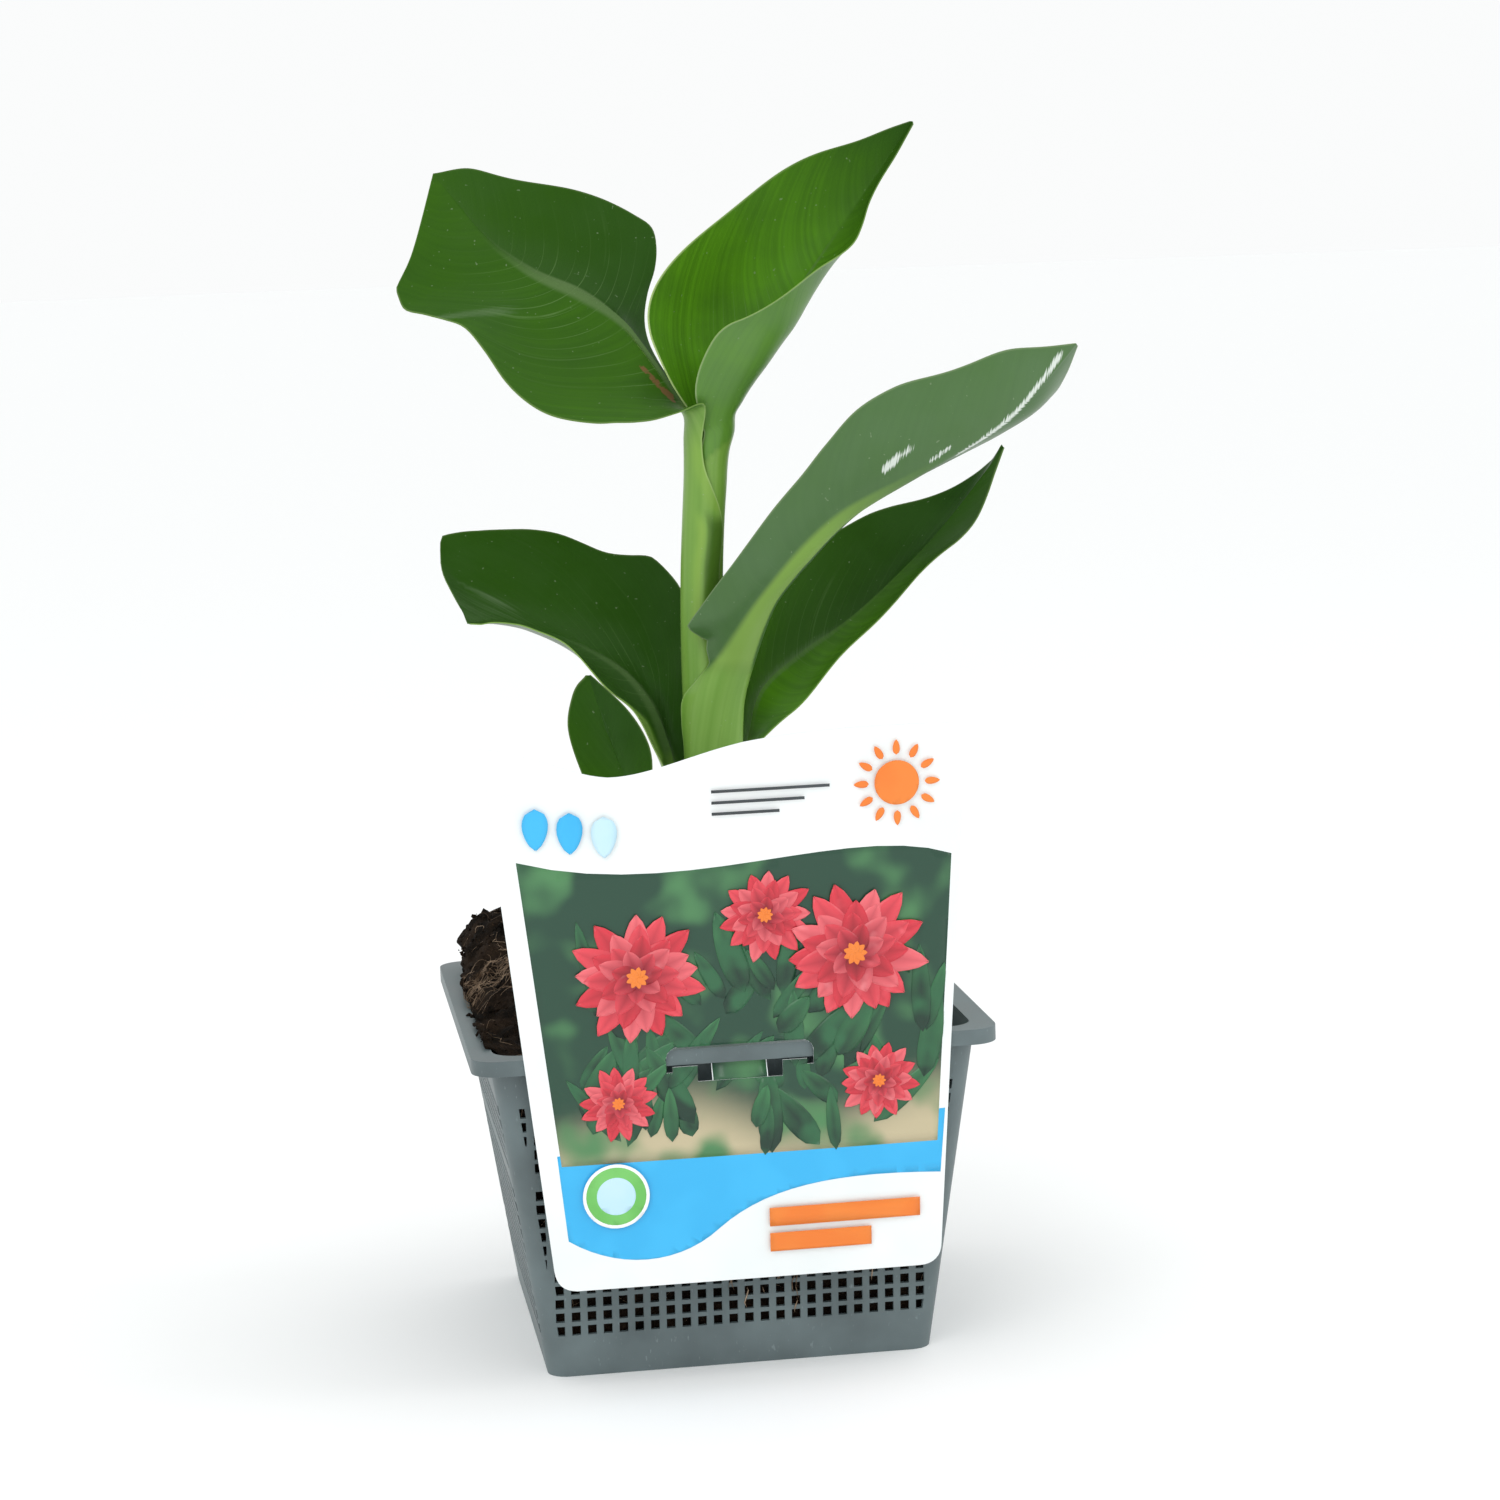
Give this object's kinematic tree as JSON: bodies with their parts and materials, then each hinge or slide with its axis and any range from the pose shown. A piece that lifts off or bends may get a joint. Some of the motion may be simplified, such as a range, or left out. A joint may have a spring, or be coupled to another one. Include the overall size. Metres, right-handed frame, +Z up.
{
  "type": "potted canna lily",
  "caption": "Young canna lily with broad leaves on an upright stem, growing in a square lattice basket pot with a hanging plant label.",
  "frame": {"origin": "middle of the pot's base, on the ground", "axes": "+Z up along the stem, -Y towards the front of the pot where the label hangs, +X to the right as seen from the front"},
  "size_m": [0.2454, 0.2023, 0.4491],
  "materials": {
    "pot_plastic": "moulded grey polypropylene, satin",
    "soil": "moist peat compost with fine roots",
    "stem": "smooth light green, lightly glossy",
    "leaf": "waxy dark green leaf, satin, paler underside",
    "young_leaf": "waxy bright green young leaf, satin",
    "label_card": "white coated card with a plain printed design"
  },
  "bodies": {
    "root": {"pot": "pot_plastic", "root_ball": "soil", "stem": "stem", "leaf_upper_left": "leaf", "leaf_top": "young_leaf", "leaf_middle_right": "leaf", "leaf_lower_right": "leaf", "leaf_lower_left": "leaf", "leaf_small_left": "leaf", "care_label": "label_card"}
  },
  "joints": []
}
